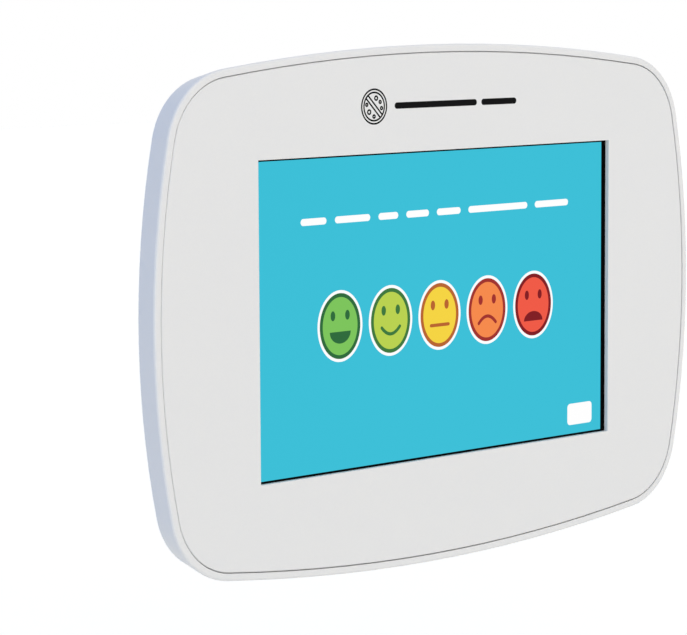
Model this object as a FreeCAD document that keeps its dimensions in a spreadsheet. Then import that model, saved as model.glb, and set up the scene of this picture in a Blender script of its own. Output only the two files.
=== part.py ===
import FreeCAD, Part
import math
import os

import Sketcher
from FreeCAD import Vector

# Touchscreen feedback terminal head.
# Lengths are in millimetres. +X is to the right seen from the front, +Z is up and
# the screen faces -Y. The origin is the centre of the stand's bolt pattern, on the
# back plane. A "level" is a distance in front of the back plane, so y = -level.

# Driving dimensions
SIZES = {
    # face: the outline is the middle of the seam between panel and rim
    "panel_width": 326.8,
    "panel_height": 223.6,
    "side_radius": 374.0,
    "crown_radius": 1013.0,
    "corner_radius": 31.6,
    "seam_gap": 0.45,
    "panel_thickness": 2.0,
    "panel_edge_break": 0.3,
    "tape_thickness": 0.2,
    "tape_inset": 1.6,
    "tape_width": 8.0,
    "window_width": 219.4,
    "window_height": 137.3,
    "gasket_lip": 1.5,
    "gasket_width": 6.0,
    # front housing
    "depth": 30.0,
    "side_depth": 14.2,
    "rim_flare": 3.45,
    "rear_flare": 0.3,
    "rim_land": 1.2,
    "rim_round": 1.0,
    "housing_wall": 2.6,
    "web_thickness": 2.4,
    "fence_length": 24.0,
    "fence_wall": 1.6,
    "fence_depth": 5.0,
    "fence_inset": 32.0,
    "post_radius": 4.0,
    "post_clearance": 8.5,
    "post_inset": 12.0,
    "hook_spacing": 45.0,
    "hook_width": 22.0,
    "hook_drop": 4.8,
    "hook_level": 19.2,
    "hook_thickness": 1.6,
    "hook_root": 0.9,
    # rear cover
    "cover_step": 1.0,
    "cover_inset": 18.3,
    "cover_wall": 2.6,
    "cover_round": 8.0,
    "skirt_wall": 1.6,
    "skirt_height": 3.0,
    "skirt_root": 0.6,
    "tongue_width": 20.0,
    "tongue_thickness": 1.6,
    "tongue_start": 14.0,
    "lip_rise": 2.1,
    "lip_thickness": 1.5,
    "loose_gap": 0.3,
    # stand mount
    "bolt_spacing": 75.0,
    "boss_radius": 6.0,
    "boss_height": 8.0,
    "boss_rib": 2.0,
    "boss_rib_height": 4.5,
    "insert_radius": 2.8,
    "insert_bore": 1.65,
    "insert_length": 8.0,
    "insert_fit": 0.02,
    # cable hole
    "cable_bore": 6.0,
    "grommet_neck": 9.4,
    "grommet_flange": 12.2,
    "grommet_flange_thickness": 1.2,
    "grommet_lip": 1.5,
    "grommet_lip_reach": 2.1,
    "grommet_lip_lead": 1.1,
    "hole_gap": 0.1,
    # vents
    "vent_width": 3.0,
    "vent_length": 24.0,
    "vent_pitch": 9.0,
    "vent_inset": 43.8,
    "vent_gap": 40.0,
    # how many slots stand in the upper row, and in each lower row
    "vent_count_high": 11,
    "vent_count_low": 5,
    # key lock
    "lock_inset": 35.8,
    "lock_boss": 15.5,
    "lock_boss_height": 2.4,
    "lock_barrel": 9.3,
    "lock_flange": 11.2,
    "lock_flange_thickness": 1.5,
    "lock_recess": 0.3,
    "lock_length": 12.0,
    "lock_nut_flats": 23.0,
    "lock_nut_height": 3.5,
    "plug_radius": 6.25,
    "plug_head": 7.4,
    "plug_head_thickness": 1.3,
    "plug_sink": 0.3,
    "plug_fit": 0.05,
    "key_slot_width": 1.8,
    "key_slot_height": 7.6,
    "key_slot_depth": 6.0,
    "cam_square": 7.4,
    "cam_thickness": 2.0,
    "cam_width": 12.0,
    "cam_hub": 8.0,
    "cam_reach": 21.0,
    "cam_play": 0.35,
    "cam_screw_radius": 2.0,
    "cam_screw_reach": 5.0,
    "cam_screw_head": 5.2,
    "cam_screw_head_height": 1.6,
    "screw_end_gap": 0.05,
    # moulded catch for the cam
    "catch_inset": 11.4,
    "catch_wall": 1.5,
    "catch_lip": 8.4,
    "catch_width": 20.0,
    # tray and its small parts
    "tray_edge": 7.0,
    "tray_margin": 51.8,
    "tray_sheet": 1.2,
    "tray_corner": 6.0,
    "tray_window_width": 190.0,
    "tray_window_height": 70.0,
    "tray_flange": 4.0,
    "tray_flange_inset": 22.5,
    "foam_thickness": 1.0,
    "foam_width": 24.0,
    "foam_height": 12.0,
    "foam_spread": 95.0,
    "screw_grip": 5.0,
    "screw_radius": 1.2,
    "screw_hole": 1.7,
    "screw_head": 2.8,
    "screw_head_height": 2.0,
    # tablet
    "tablet_width": 250.0,
    "tablet_height": 160.0,
    "tablet_corner": 8.0,
    "tablet_thickness": 8.6,
    "tablet_shift": -1.5,
    "tablet_gap": 0.4,
    "glass_thickness": 0.8,
    "display_width": 222.4,
    "display_height": 142.6,
    "display_thickness": 1.2,
    "backlight_thickness": 1.6,
    "backlight_edge": 0.4,
    "frame_plate": 0.8,
    "frame_wall": 2.0,
    "frame_fit": 0.1,
    "shell_wall": 1.2,
    "shell_floor": 1.0,
    "shell_edge": 1.8,
    "shell_drop": 0.2,
    "battery_width": 150.0,
    "battery_height": 92.0,
    "battery_thickness": 3.0,
    "board_thickness": 0.8,
    "can_height": 1.4,
    "can_width": 44.0,
    "can_rise": 28.0,
    "can_x": -58.0,
    "can_z": 50.0,
    "radio_can_width": 34.0,
    "radio_can_rise": 26.0,
    "radio_can_x": -10.0,
    "port_can_width": 20.0,
    "port_can_rise": 16.0,
    "port_can_x": 94.0,
    "battery_x": -9.0,
    "battery_z": -24.0,
    "speaker_width": 22.0,
    "speaker_height": 40.0,
    "speaker_left": -103.0,
    "speaker_right": 98.0,
    "speaker_z": -40.0,
    "antenna_width": 9.0,
    "antenna_height": 44.0,
    "antenna_thickness": 0.3,
    "antenna_left": -112.0,
    "antenna_left_z": 20.0,
    "antenna_right": 115.5,
    "antenna_right_z": -40.0,
    "camera_width": 6.0,
    "camera_height": 5.0,
    "camera_depth": 3.1,
    "flex_x": -60.0,
    "flex_z": 26.0,
    "flex_width": 30.0,
    "flex_thickness": 0.3,
    "board_top": 74.4,
    "board_low": 30.0,
    "board_leg_low": 6.0,
    "board_left": -100.0,
    "board_right": 114.0,
    "board_leg_left": 84.0,
    "board_screw_inset": 6.0,
    "board_screw_hole": 0.85,
    "board_screw_radius": 0.8,
    "board_screw_head": 1.6,
    "board_screw_head_height": 0.7,
    "switch_width": 4.4,
    "switch_depth": 1.7,
    "switch_height": 3.0,
    "switch_stroke": 0.4,
    "switch_reach_in": 1.4,
    "plunger_width": 1.8,
    "plunger_depth": 0.9,
    "key_protrusion": 0.6,
    "key_thickness": 2.0,
    "key_slot_gap": 0.2,
    "power_key_x": 60.0,
    "power_key_width": 9.6,
    "power_key_gap": 0.15,
    "power_key_travel": 0.3,
    "volume_key_x": 34.0,
    "volume_key_width": 19.6,
    "volume_key_gap": 0.25,
    "volume_key_stroke": 0.4,
    "volume_key_rest": 0.35,
    "key_flange": 1.2,
    "key_flange_thickness": 1.0,
    "key_round": 0.4,
    "port_width": 9.0,
    "port_thickness": 3.0,
    "port_length": 7.5,
    "port_z": 20.0,
    "port_sheet": 0.3,
    "port_tongue": 0.7,
}

# Millimetres within which two places count as the same
TOLERANCE = 1e-3
# How far in a rounded edge has come at half its turn, as a share of its radius
STEP_IN = 1 - math.sqrt(0.5)


class Size:
    """A length with the sheet expression that gives it."""

    def __init__(self, value, text):
        self.value = float(value)
        self.text = text

    def __add__(self, other):
        other = as_size(other)
        return Size(self.value + other.value, f"({self.text} + {other.text})")

    def __radd__(self, other):
        return as_size(other) + self

    def __sub__(self, other):
        other = as_size(other)
        return Size(self.value - other.value, f"({self.text} - {other.text})")

    def __rsub__(self, other):
        return as_size(other) - self

    def __mul__(self, other):
        other = as_size(other)
        return Size(self.value * other.value, f"({self.text} * {other.text})")

    def __rmul__(self, other):
        return as_size(other) * self

    def __truediv__(self, other):
        other = as_size(other)
        return Size(self.value / other.value, f"({self.text} / {other.text})")

    def __neg__(self):
        return 0.0 - self

    def root(self):
        return Size(math.sqrt(self.value), f"sqrt({self.text})")


def as_size(item):
    if isinstance(item, Size):
        return item
    return Size(item, f"({float(item):.6f})")


class Dimensions:
    """The driving dimensions as attributes, each tied to its cell in the sheet."""

    def __init__(self, sizes):
        for name, value in sizes.items():
            setattr(self, name, Size(value, f"dims.{name}"))


document = FreeCAD.newDocument("feedback_terminal")
sheet = document.addObject("Spreadsheet::Sheet", "dims")
for row, (alias, number) in enumerate(SIZES.items(), start=1):
    sheet.set(f"A{row}", alias)
    sheet.set(f"B{row}", str(number))
    sheet.setAlias(f"B{row}", alias)
document.recompute()

D = Dimensions(SIZES)
nodes = []


# Helpers: binding, sketches and features

def bind(item, path, size):
    item.setExpression(path, as_size(size).text)


def keep(item, label):
    """Give an object its label and list it as a sub-part."""
    item.Label = label
    nodes.append(item)
    return item


def new_body(label, listed=True):
    body = document.addObject("PartDesign::Body", f"{label}_body")
    if listed:
        return keep(body, label)
    body.Label = f"{label}_piece"
    return body


def new_sketch(body, role="XZ_Plane", level=0.0):
    """A sketch on an origin plane of its body; on XZ_Plane its level is toward the front."""
    plane = [item for item in body.Origin.OriginFeatures if item.Role == role][0]
    sketch = body.newObject("Sketcher::SketchObject", f"{body.Name}_sketch")
    sketch.AttachmentSupport = (plane, [""])
    sketch.MapMode = "FlatFace"
    bind(sketch, "AttachmentOffset.Base.z", level)
    return sketch


def constrain(sketch, kind, *where, size):
    """Add a dimension to a sketch and tie it to the sheet."""
    size = as_size(size)
    index = sketch.addConstraint(Sketcher.Constraint(kind, *where, size.value))
    name = f"c{index}"
    sketch.renameConstraint(index, name)
    sketch.setExpression(f"Constraints.{name}", size.text)


def place_point(sketch, geometry, vertex, x, z):
    constrain(sketch, "DistanceX", -1, 1, geometry, vertex, size=x)
    constrain(sketch, "DistanceY", -1, 1, geometry, vertex, size=z)


def circle(sketch, radius, x=0.0, z=0.0):
    radius, x, z = as_size(radius), as_size(x), as_size(z)
    centre = Vector(x.value, z.value, 0)
    index = sketch.addGeometry(Part.Circle(centre, Vector(0, 0, 1), radius.value))
    constrain(sketch, "Radius", index, size=radius)
    place_point(sketch, index, 3, x, z)


def polygon(sketch, corners):
    """A closed outline of straight lines through the given corners."""
    corners = [(as_size(x), as_size(z)) for x, z in corners]
    count = len(corners)
    first = len(sketch.Geometry)
    for index in range(count):
        here = corners[index]
        after = corners[(index + 1) % count]
        start = Vector(here[0].value, here[1].value, 0)
        end = Vector(after[0].value, after[1].value, 0)
        sketch.addGeometry(Part.LineSegment(start, end))
    for index in range(count):
        following = first + (index + 1) % count
        sketch.addConstraint(Sketcher.Constraint("Coincident", first + index, 2, following, 1))
        place_point(sketch, first + index, 1, *corners[index])


def rectangle(sketch, width, height, x=0.0, z=0.0):
    left, right = as_size(x) - as_size(width) / 2, as_size(x) + as_size(width) / 2
    low, high = as_size(z) - as_size(height) / 2, as_size(z) + as_size(height) / 2
    polygon(sketch, [(left, low), (right, low), (right, high), (left, high)])


def arc(centre_x, centre_z, radius, start, end):
    """An arc from plain numbers; angles in radians, counter-clockwise."""
    whole = Part.Circle(Vector(centre_x, centre_z, 0), Vector(0, 0, 1), radius)
    return Part.ArcOfCircle(whole, start, end)


def rounded_rectangle(sketch, width, height, corner, x=0.0, z=0.0):
    width, height, corner = as_size(width), as_size(height), as_size(corner)
    x, z = as_size(x), as_size(z)
    across, up = width / 2 - corner, height / 2 - corner
    first = len(sketch.Geometry)
    quarters = [(1, 1, 0.0), (-1, 1, 0.5), (-1, -1, 1.0), (1, -1, 1.5)]
    for side, rise, turn in quarters:
        centre_x, centre_z = (x + side * across).value, (z + rise * up).value
        start = turn * math.pi
        sketch.addGeometry(arc(centre_x, centre_z, corner.value, start, start + math.pi / 2))
    for index in range(4):
        here = sketch.Geometry[first + index].EndPoint
        after = sketch.Geometry[first + (index + 1) % 4].StartPoint
        sketch.addGeometry(Part.LineSegment(here, after))
    for index, (side, rise, _) in enumerate(quarters):
        line, after = first + 4 + index, first + (index + 1) % 4
        sketch.addConstraint(Sketcher.Constraint("Tangent", first + index, 2, line, 1))
        sketch.addConstraint(Sketcher.Constraint("Tangent", line, 2, after, 1))
        constrain(sketch, "Radius", first + index, size=corner)
        place_point(sketch, first + index, 3, x + side * across, z + rise * up)


def outline(sketch, offset):
    """The bulged outline of the face, moved outward by offset: eight tangent arcs."""
    offset = as_size(offset)
    side, crown = D.side_radius + offset, D.crown_radius + offset
    corner = D.corner_radius + offset
    side_back = D.side_radius - D.panel_width / 2
    crown_back = D.crown_radius - D.panel_height / 2
    # the corner circle touches the side and crown arcs from inside
    to_side = D.side_radius.value - D.corner_radius.value
    to_crown = D.crown_radius.value - D.corner_radius.value
    apart = math.hypot(side_back.value, crown_back.value)
    along = (to_crown**2 - to_side**2 + apart**2) / (2 * apart)
    across = math.sqrt(to_crown**2 - along**2)
    unit_x, unit_z = -side_back.value / apart, crown_back.value / apart
    corner_x = along * unit_x + across * unit_z
    corner_z = -crown_back.value + along * unit_z - across * unit_x
    side_end = math.atan2(corner_z, corner_x + side_back.value)
    crown_end = math.atan2(corner_z + crown_back.value, corner_x)
    first = len(sketch.Geometry)
    half, full = math.pi, 2 * math.pi
    sketch.addGeometry(arc(-side_back.value, 0, side.value, -side_end, side_end))
    sketch.addGeometry(arc(corner_x, corner_z, corner.value, side_end, crown_end))
    sketch.addGeometry(arc(0, -crown_back.value, crown.value, crown_end, half - crown_end))
    sketch.addGeometry(arc(-corner_x, corner_z, corner.value, half - crown_end, half - side_end))
    sketch.addGeometry(arc(side_back.value, 0, side.value, half - side_end, half + side_end))
    sketch.addGeometry(arc(-corner_x, -corner_z, corner.value, half + side_end, half + crown_end))
    sketch.addGeometry(arc(0, crown_back.value, crown.value, half + crown_end, full - crown_end))
    sketch.addGeometry(arc(corner_x, -corner_z, corner.value, full - crown_end, full - side_end))
    for index in range(8):
        after = first + (index + 1) % 8
        sketch.addConstraint(Sketcher.Constraint("Tangent", first + index, 2, after, 1))
    places = [(-side_back, 0.0, side), (0.0, -crown_back, crown)]
    places += [(side_back, 0.0, side), (0.0, crown_back, crown)]
    for quarter, (x, z, radius) in enumerate(places):
        constrain(sketch, "Radius", first + 2 * quarter, size=radius)
        constrain(sketch, "Radius", first + 2 * quarter + 1, size=corner)
        place_point(sketch, first + 2 * quarter, 3, x, z)


def extrude(body, sketch, length, cut=False, toward_front=True):
    """Pad or pocket a sketch of the XZ plane toward the front or the back."""
    before = body.Shape.Volume if cut else 0.0
    kind = "PartDesign::Pocket" if cut else "PartDesign::Pad"
    feature = body.newObject(kind, f"{body.Name}_{'pocket' if cut else 'pad'}")
    feature.Profile = sketch
    bind(feature, "Length", length)
    feature.Reversed = toward_front if cut else not toward_front
    document.recompute()
    if cut and not body.Shape.Volume < before - 1e-6:
        raise RuntimeError(f"{feature.Name} cuts nothing")
    return feature


def loft(body, low_sketch, high_sketch, cut=False):
    kind = "PartDesign::SubtractiveLoft" if cut else "PartDesign::AdditiveLoft"
    before = body.Shape.Volume if cut else 0.0
    feature = body.newObject(kind, f"{body.Name}_loft")
    feature.Profile = low_sketch
    feature.Sections = [high_sketch]
    feature.Ruled = True
    document.recompute()
    if cut and not body.Shape.Volume < before - 1e-6:
        raise RuntimeError(f"{feature.Name} cuts nothing")
    return feature


def outline_at(body, level, offset):
    sketch = new_sketch(body, level=level)
    outline(sketch, offset)
    return sketch


def fillet(body, radius, wanted, chamfer=False):
    """Round or chamfer the edges of the body that the test accepts."""
    base = body.Tip
    names = [f"Edge{number}" for number, edge in enumerate(base.Shape.Edges, start=1)
             if wanted(edge)]
    kind = "Chamfer" if chamfer else "Fillet"
    feature = body.newObject(f"PartDesign::{kind}", f"{body.Name}_edge")
    feature.Base = (base, names)
    bind(feature, "Size" if chamfer else "Radius", radius)
    document.recompute()
    return feature


def flat_edge_at(level, least_x=0.0):
    """A test for edges that lie in one level and reach out past least_x."""
    def test(edge):
        box = edge.BoundBox
        in_plane = max(abs(box.YMin + level.value), abs(box.YMax + level.value)) < TOLERANCE
        reach = max(abs(box.XMin), abs(box.XMax))
        return in_plane and reach > least_x
    return test


def block(name, width, thickness, height, x, low, z):
    """A box centred on x and z, from its low level toward the front."""
    item = document.addObject("Part::Box", name)
    bind(item, "Length", width)
    bind(item, "Width", thickness)
    bind(item, "Height", height)
    bind(item, "Placement.Base.x", as_size(x) - as_size(width) / 2)
    bind(item, "Placement.Base.y", -(as_size(low) + as_size(thickness)))
    bind(item, "Placement.Base.z", as_size(z) - as_size(height) / 2)
    return item


def subtract(name, base, tool):
    item = document.addObject("Part::Cut", name)
    item.Base = base
    item.Tool = tool
    return item


def unite(name, pieces):
    item = document.addObject("Part::MultiFuse", name)
    item.Shapes = pieces
    return item


def group(label, pieces):
    item = document.addObject("Part::Compound", f"{label}_group")
    item.Links = pieces
    return keep(item, label)


def turned(label, profile, x=0.0, z=0.0, listed=True):
    """A revolved piece: its profile holds (radius, level) corners, its axis is along Y."""
    body = new_body(label, listed)
    sketch = new_sketch(body, "XY_Plane")
    polygon(sketch, [(radius, -as_size(level)) for radius, level in profile])
    feature = body.newObject("PartDesign::Revolution", f"{label}_turn")
    feature.Profile = sketch
    feature.ReferenceAxis = (sketch, ["V_Axis"])
    feature.Angle = 360.0
    bind(body, "Placement.Base.x", x)
    bind(body, "Placement.Base.z", z)
    return body


# Levels that several pieces share
front = D.depth
panel_back = front - D.panel_thickness
seat = panel_back - D.tape_thickness
web_back = seat - D.web_thickness
shoulder = front - D.rim_land
parting = front - D.side_depth
tablet_back_level = seat - D.tablet_thickness
tray_front = tablet_back_level - D.foam_thickness
tray_back = tray_front - D.tray_sheet
half_height = D.panel_height / 2
lock_drop = half_height - D.lock_inset
vent_z = half_height - D.vent_inset
post_spread = D.tablet_width / 2 + D.post_clearance
tray_width = 2 * (post_spread + D.tray_edge)
tray_height = 2 * (half_height - D.tray_margin)
post_rise = tray_height / 2 - D.post_inset


def flare_at(level):
    """How far the outer wall of the front housing stands outside the seam at a level."""
    slope = (D.rim_flare - D.rear_flare) / (shoulder - parting)
    return D.rear_flare + slope * (level - parting)


def corners_of_four(across, up, x=0.0):
    """Four places, mirrored left to right and up to down."""
    return [(x + side * as_size(across), rise * as_size(up))
            for side in (-1, 1) for rise in (-1, 1)]


tray_posts = corners_of_four(post_spread, post_rise, D.tablet_shift)
stand_bolts = corners_of_four(D.bolt_spacing / 2, D.bolt_spacing / 2)
catch_z = -(half_height - D.catch_inset)


# Front panel with its window

def make_front_panel():
    body = new_body("front_panel")
    sketch = outline_at(body, panel_back, -D.seam_gap / 2)
    rectangle(sketch, D.window_width, D.window_height)
    extrude(body, sketch, D.panel_thickness)
    outer_edge = flat_edge_at(front, least_x=D.window_width.value * 0.51)
    fillet(body, D.panel_edge_break, outer_edge, chamfer=True)


def make_panel_tape():
    body = new_body("panel_tape")
    sketch = outline_at(body, seat, -D.tape_inset)
    outline(sketch, -D.tape_inset - D.tape_width)
    extrude(body, sketch, D.tape_thickness)


def make_window_gasket():
    body = new_body("window_gasket")
    sketch = new_sketch(body, level=seat)
    inner_width = D.window_width + 2 * D.gasket_lip
    inner_height = D.window_height + 2 * D.gasket_lip
    rectangle(sketch, inner_width, inner_height)
    rectangle(sketch, inner_width + 2 * D.gasket_width, inner_height + 2 * D.gasket_width)
    extrude(body, sketch, D.tape_thickness)


# Front housing: drafted wall, rim, web, tablet fences, posts and hook ribs

def fence_places():
    """Centres and sizes of the ribs that stand round the tablet."""
    out = D.tablet_width / 2 + D.tablet_gap + D.fence_wall / 2
    up = D.tablet_height / 2 + D.tablet_gap + D.fence_wall / 2
    along_x = D.tablet_width / 2 - D.fence_inset
    along_z = D.tablet_height / 2 - D.fence_inset
    lying = corners_of_four(along_x, up, D.tablet_shift)
    standing = corners_of_four(out, along_z, D.tablet_shift)
    ribs = [(D.fence_length, D.fence_wall, place) for place in lying]
    return ribs + [(D.fence_wall, D.fence_length, place) for place in standing]


def make_front_housing():
    body = new_body("front_housing")
    loft(body, outline_at(body, parting, D.rear_flare), outline_at(body, shoulder, D.rim_flare))
    extrude(body, outline_at(body, shoulder, D.rim_flare), D.rim_land - D.rim_round)
    # the rim's front edge is rounded in two drafted steps
    steps = [(front - D.rim_round, D.rim_flare),
             (front - D.rim_round * STEP_IN, D.rim_flare - D.rim_round * STEP_IN),
             (front, D.rim_flare - D.rim_round)]
    for (low_level, low_flare), (high_level, high_flare) in zip(steps, steps[1:]):
        loft(body, outline_at(body, low_level, low_flare), outline_at(body, high_level, high_flare))
    # the panel drops into this rebate
    rebate = outline_at(body, front, D.seam_gap / 2)
    extrude(body, rebate, D.panel_thickness + D.tape_thickness, cut=True, toward_front=False)
    # the hollow behind the web follows the drafted wall
    low = outline_at(body, parting, D.rear_flare - D.housing_wall)
    high = outline_at(body, web_back, flare_at(web_back) - D.housing_wall)
    loft(body, low, high, cut=True)
    opening = new_sketch(body, level=seat)
    rounded_rectangle(opening, D.tablet_width + 2 * D.tablet_gap, D.tablet_height + 2 * D.tablet_gap,
                      D.tablet_corner + D.tablet_gap, x=D.tablet_shift)
    extrude(body, opening, D.web_thickness, cut=True, toward_front=False)
    fences = new_sketch(body, level=web_back)
    for width, height, (x, z) in fence_places():
        rectangle(fences, width, height, x, z)
    extrude(body, fences, D.fence_depth, toward_front=False)
    posts = new_sketch(body, level=web_back)
    holes = new_sketch(body, level=tray_front)
    for x, z in tray_posts:
        circle(posts, D.post_radius, x, z)
        circle(holes, D.screw_radius + D.insert_fit, x, z)
    extrude(body, posts, web_back - tray_front, toward_front=False)
    extrude(body, holes, D.screw_grip, cut=True)
    # the catch that the lock's cam passes behind: a wall with a lip
    wall = new_sketch(body, level=web_back)
    rectangle(wall, D.catch_width, D.catch_wall, 0.0, catch_z + D.catch_wall / 2)
    extrude(body, wall, web_back - D.lock_length + D.catch_wall, toward_front=False)
    lip = new_sketch(body, level=D.lock_length)
    rectangle(lip, D.catch_width, D.catch_lip, 0.0, catch_z + D.catch_lip / 2)
    extrude(body, lip, D.catch_wall, toward_front=False)
    hooks = new_sketch(body, level=D.hook_level)
    hook_height = D.hook_drop - D.hook_root
    for side in (-1, 1):
        rectangle(hooks, D.hook_width, hook_height, side * D.hook_spacing,
                  half_height - D.hook_drop + hook_height / 2)
    extrude(body, hooks, D.hook_thickness)


# Rear cover: tapered shell with skirt, tongues, bosses, cable hole, lock hole and vents

def vent_group(body, x, z, count):
    sketch = new_sketch(body, level=0.0)
    rectangle(sketch, D.vent_width, D.vent_length, x, z)
    first = extrude(body, sketch, D.cover_wall, cut=True)
    pattern = body.newObject("PartDesign::LinearPattern", f"{body.Name}_vents")
    pattern.Originals = [first]
    pattern.Direction = (sketch, ["H_Axis"])
    bind(pattern, "Length", D.vent_pitch * (count - 1))
    bind(pattern, "Occurrences", count)
    body.Tip = pattern
    document.recompute()


def make_rear_cover():
    body = new_body("rear_cover")
    edge_flare = D.rear_flare - D.cover_step
    back_flare = edge_flare - D.cover_inset
    slope = D.cover_inset / parting
    # the flank leans, so its wall is wider measured in the face's plane
    flank = D.cover_wall * (1.0 + slope * slope).root()
    loft(body, outline_at(body, 0.0, back_flare), outline_at(body, parting, edge_flare))
    fillet(body, D.cover_round, flat_edge_at(as_size(0.0)))
    low = outline_at(body, D.cover_wall, back_flare + slope * D.cover_wall - flank)
    loft(body, low, outline_at(body, parting, edge_flare - flank), cut=True)
    # the skirt slips inside the front housing's wall
    skirt_outer = D.rear_flare - D.housing_wall - D.loose_gap
    skirt = outline_at(body, parting - D.skirt_root, skirt_outer)
    outline(skirt, skirt_outer - D.skirt_wall)
    extrude(body, skirt, D.skirt_height + D.skirt_root)
    # each tongue passes under a hook rib and its lip stands up in front of it
    tongue_top = half_height - D.hook_drop - D.loose_gap
    tongue_end = D.hook_level + D.hook_thickness + D.loose_gap + D.lip_thickness
    tongues = new_sketch(body, level=D.tongue_start)
    lips = new_sketch(body, level=tongue_end - D.lip_thickness)
    for side in (-1, 1):
        x = side * D.hook_spacing
        rectangle(tongues, D.tongue_width, D.tongue_thickness, x, tongue_top - D.tongue_thickness / 2)
        lip_height = D.tongue_thickness + D.lip_rise
        rectangle(lips, D.tongue_width, lip_height, x, tongue_top + D.lip_rise - lip_height / 2)
    extrude(body, tongues, tongue_end - D.tongue_start)
    extrude(body, lips, D.lip_thickness)
    # stand bosses, tied together by a square of ribs
    ribs = new_sketch(body, level=D.cover_wall)
    rectangle(ribs, D.bolt_spacing + D.boss_rib, D.bolt_spacing + D.boss_rib)
    rectangle(ribs, D.bolt_spacing - D.boss_rib, D.bolt_spacing - D.boss_rib)
    extrude(body, ribs, D.boss_rib_height)
    bosses = new_sketch(body, level=D.cover_wall)
    inserts = new_sketch(body, level=0.0)
    for x, z in stand_bolts:
        circle(bosses, D.boss_radius, x, z)
        hexagon(inserts, 2 * (D.insert_radius + D.insert_fit), x, z)
    extrude(body, bosses, D.boss_height)
    extrude(body, inserts, D.insert_length + 1.0, cut=True)
    # cable hole with a recess for the grommet's flange
    recess = new_sketch(body, level=0.0)
    circle(recess, D.grommet_flange + D.hole_gap)
    extrude(body, recess, D.grommet_flange_thickness, cut=True)
    hole = new_sketch(body, level=0.0)
    circle(hole, D.grommet_neck + D.hole_gap)
    extrude(body, hole, D.cover_wall, cut=True)
    # lock hole in a thicker boss, with a recess for the lock's flange
    boss = new_sketch(body, level=D.cover_wall)
    circle(boss, D.lock_boss, z=-lock_drop)
    extrude(body, boss, D.lock_boss_height)
    recess = new_sketch(body, level=0.0)
    circle(recess, D.lock_flange + D.loose_gap, z=-lock_drop)
    extrude(body, recess, D.lock_recess + D.lock_flange_thickness, cut=True)
    hole = new_sketch(body, level=0.0)
    circle(hole, D.lock_barrel + D.hole_gap, z=-lock_drop)
    extrude(body, hole, D.cover_wall + D.lock_boss_height, cut=True)
    vent_group(body, -D.vent_pitch * (D.vent_count_high - 1) / 2, vent_z, D.vent_count_high)
    low_row = D.vent_pitch * (D.vent_count_low - 1)
    vent_group(body, -D.vent_gap - low_row, -vent_z, D.vent_count_low)
    vent_group(body, D.vent_gap, -vent_z, D.vent_count_low)


# Inserts, screws and the grommet

def screw_profile(shank, head, head_low, seat_level, tip):
    """A pan-head screw whose head is at the back and whose tip points to the front."""
    return [(0.0, head_low), (head, head_low), (head, seat_level), (shank, seat_level),
            (shank, tip), (0.0, tip)]


def make_repeated(label, profile, places):
    pieces = [turned(f"{label}_{number}", profile, x, z, listed=False)
              for number, (x, z) in enumerate(places, start=1)]
    group(label, pieces)


def hexagon(sketch, across_flats, x, z):
    flat = as_size(across_flats) / 2
    reach = 2 * flat / Size(math.sqrt(3), "sqrt(3)")
    corners = [(reach, 0.0), (reach / 2, flat), (-reach / 2, flat), (-reach, 0.0),
               (-reach / 2, -flat), (reach / 2, -flat)]
    polygon(sketch, [(x + across, z + up) for across, up in corners])


def make_stand_inserts():
    """Hexagonal brass inserts, moulded into the cover's bosses."""
    pieces = []
    for number, (x, z) in enumerate(stand_bolts, start=1):
        body = new_body(f"stand_insert_{number}", listed=False)
        sketch = new_sketch(body)
        hexagon(sketch, 2 * D.insert_radius, x, z)
        circle(sketch, D.insert_bore, x, z)
        extrude(body, sketch, D.insert_length)
        pieces.append(body)
    group("stand_inserts", pieces)


def make_tray_screws():
    profile = screw_profile(D.screw_radius, D.screw_head, tray_back - D.screw_head_height, tray_back,
                            tray_front + D.screw_grip - D.screw_end_gap)
    make_repeated("tray_screws", profile, tray_posts)


def make_cable_grommet():
    inner = D.cover_wall + D.grommet_lip
    profile = [(D.cable_bore, 0.0), (D.grommet_flange, 0.0),
               (D.grommet_flange, D.grommet_flange_thickness),
               (D.grommet_neck, D.grommet_flange_thickness), (D.grommet_neck, D.cover_wall),
               (D.grommet_neck + D.grommet_lip_reach, D.cover_wall),
               (D.grommet_neck + D.grommet_lip_lead, inner), (D.cable_bore, inner)]
    turned("cable_grommet", profile)


# Key lock: body and nut stay, plug and cam turn

cam_back = D.lock_length + D.cam_play
cam_front = cam_back + D.cam_thickness
plug_back = D.lock_recess + D.plug_sink
plug_shoulder = plug_back + D.plug_head_thickness


def make_lock_body():
    bore, mouth = D.plug_radius + D.plug_fit, D.plug_head + D.hole_gap
    flange_top = D.lock_recess + D.lock_flange_thickness
    profile = [(mouth, D.lock_recess), (D.lock_flange, D.lock_recess), (D.lock_flange, flange_top),
               (D.lock_barrel, flange_top), (D.lock_barrel, D.lock_length), (bore, D.lock_length),
               (bore, plug_shoulder + D.hole_gap), (mouth, plug_shoulder + D.hole_gap)]
    turned("lock_body", profile, z=-lock_drop)


def make_lock_nut():
    body = new_body("lock_nut")
    low = D.cover_wall + D.lock_boss_height
    sketch = new_sketch(body, level=low)
    circle(sketch, D.lock_barrel + 0.05, z=-lock_drop)
    hexagon(sketch, D.lock_nut_flats, as_size(0.0), -lock_drop)
    extrude(body, sketch, D.lock_nut_height)


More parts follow.
